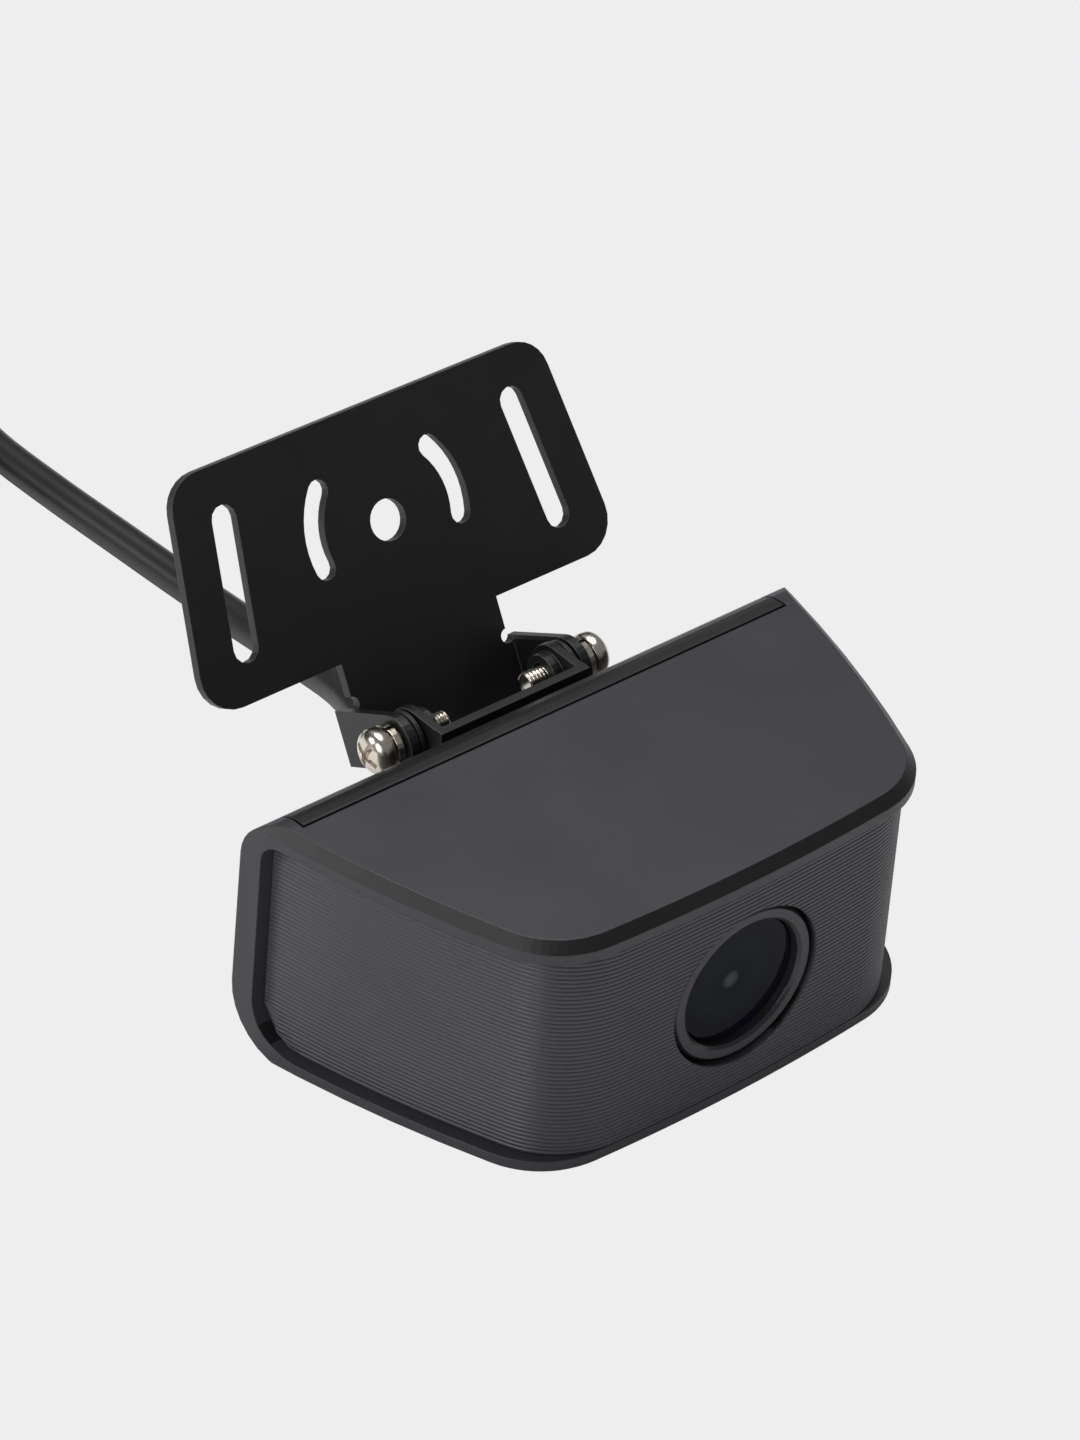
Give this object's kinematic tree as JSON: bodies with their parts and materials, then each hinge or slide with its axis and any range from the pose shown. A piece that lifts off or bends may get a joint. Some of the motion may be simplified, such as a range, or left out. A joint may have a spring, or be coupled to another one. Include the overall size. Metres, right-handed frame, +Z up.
{
  "type": "backup_camera",
  "caption": "Black bracket-mounted backup camera for a truck or trailer: ribbed housing with a round recessed lens, hinged slotted mounting plate, and a black lead with a round plug.",
  "frame": {"origin": "centre of the camera's flat underside", "axes": "X along the camera's width, the lens looks along -Y, the mounting plate is behind at +Y, +Z is up"},
  "size_m": [0.0894, 0.2044, 0.0486],
  "materials": {
    "housing_coat": "satin black",
    "seal_rubber": "matte",
    "ring_metal": "anodised grey-brown",
    "dark_glass": "polished",
    "black_plastic": "matte",
    "filter_glass": "polished",
    "chip": "glossy",
    "board": "solder mask",
    "white_plastic": "matte",
    "black_powder": "satin powder coat",
    "cable_pvc": "satin",
    "nickel": "nickel plated"
  },
  "bodies": {
    "camera": {"board_header": "black_plastic", "board_screw_1": "nickel", "board_screw_2": "nickel", "board_screw_3": "nickel", "board_screw_4": "nickel", "board_spacer_1": "black_plastic", "board_spacer_2": "black_plastic", "board_spacer_3": "black_plastic", "board_spacer_4": "black_plastic", "bracket_screw_left": "nickel", "bracket_screw_right": "nickel", "cable_coil": "cable_pvc", "cable_connector": "white_plastic", "cable_gland": "seal_rubber", "cable_lead": "cable_pvc", "cable_tie": "black_plastic", "cover_gasket": "seal_rubber", "cover_screw_1": "nickel", "cover_screw_2": "nickel", "cover_screw_3": "nickel", "cover_screw_4": "nickel", "front_housing": "housing_coat", "image_sensor": "chip", "inner_bracket": "black_powder", "interface_board": "board", "ir_filter": "filter_glass", "lens_barrel": "black_plastic", "lens_front_element": "dark_glass", "lens_holder": "black_plastic", "lens_ring": "ring_metal", "lens_window": "dark_glass", "pivot_screw_left": "nickel", "pivot_screw_right": "nickel", "plug_body": "cable_pvc", "plug_shell": "black_plastic", "rear_cover": "housing_coat", "sensor_board": "board", "spacer_washer_left": "black_plastic", "spacer_washer_right": "black_plastic", "spring_washer_left": "nickel", "spring_washer_right": "nickel", "window_seal": "seal_rubber"},
    "bracket": {"mounting_plate": "black_powder"}
  },
  "joints": [
    {"name": "bracket_tilt", "type": "hinge", "parent": "camera", "child": "bracket", "pos_m": [0, 0.02379, 0.02429], "axis": [1, 0, 0], "range_deg": [-50, 110]}
  ]
}
